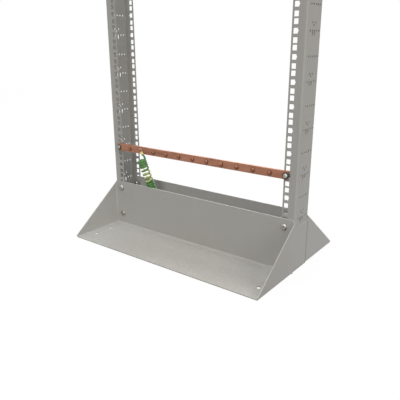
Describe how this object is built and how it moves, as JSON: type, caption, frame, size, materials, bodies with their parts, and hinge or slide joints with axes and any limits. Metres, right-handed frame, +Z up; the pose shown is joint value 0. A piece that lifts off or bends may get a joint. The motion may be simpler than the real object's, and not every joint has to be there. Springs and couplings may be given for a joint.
{
  "type": "two post open frame rack",
  "caption": "Open frame rack of two perforated sheet posts on folded gusset feet, with a cap, a copper earth bar and a coiled bonding lead.",
  "frame": {"origin": "on the floor, midway between the posts and between the feet", "axes": "+Z up, +X to the right seen from the front, +Y to the rear"},
  "size_m": [0.512, 0.336, 2.003],
  "materials": {
    "grey_paint": "light grey powder coat, fine orange peel",
    "copper": "bare rolled copper, dulled",
    "copper_screw": "copper coloured screws",
    "black_plastic": "matt black",
    "tinned_lug": "yellowish plated lug",
    "wire": "green insulation with a yellow stripe",
    "zinc": "bright zinc plate"
  },
  "bodies": {
    "root": {"cap": "grey_paint", "earth_bar": "copper", "front_foot": "grey_paint", "lead_coil": "wire", "lead_lower": "wire", "lead_upper": "wire", "left_post_front_flange": "grey_paint", "left_post_rear_flange": "grey_paint", "left_post_web": "grey_paint", "lower_lug": "tinned_lug", "rear_foot": "grey_paint", "right_post_front_flange": "grey_paint", "right_post_rear_flange": "grey_paint", "right_post_web": "grey_paint", "upper_lug": "tinned_lug"}
  },
  "joints": []
}
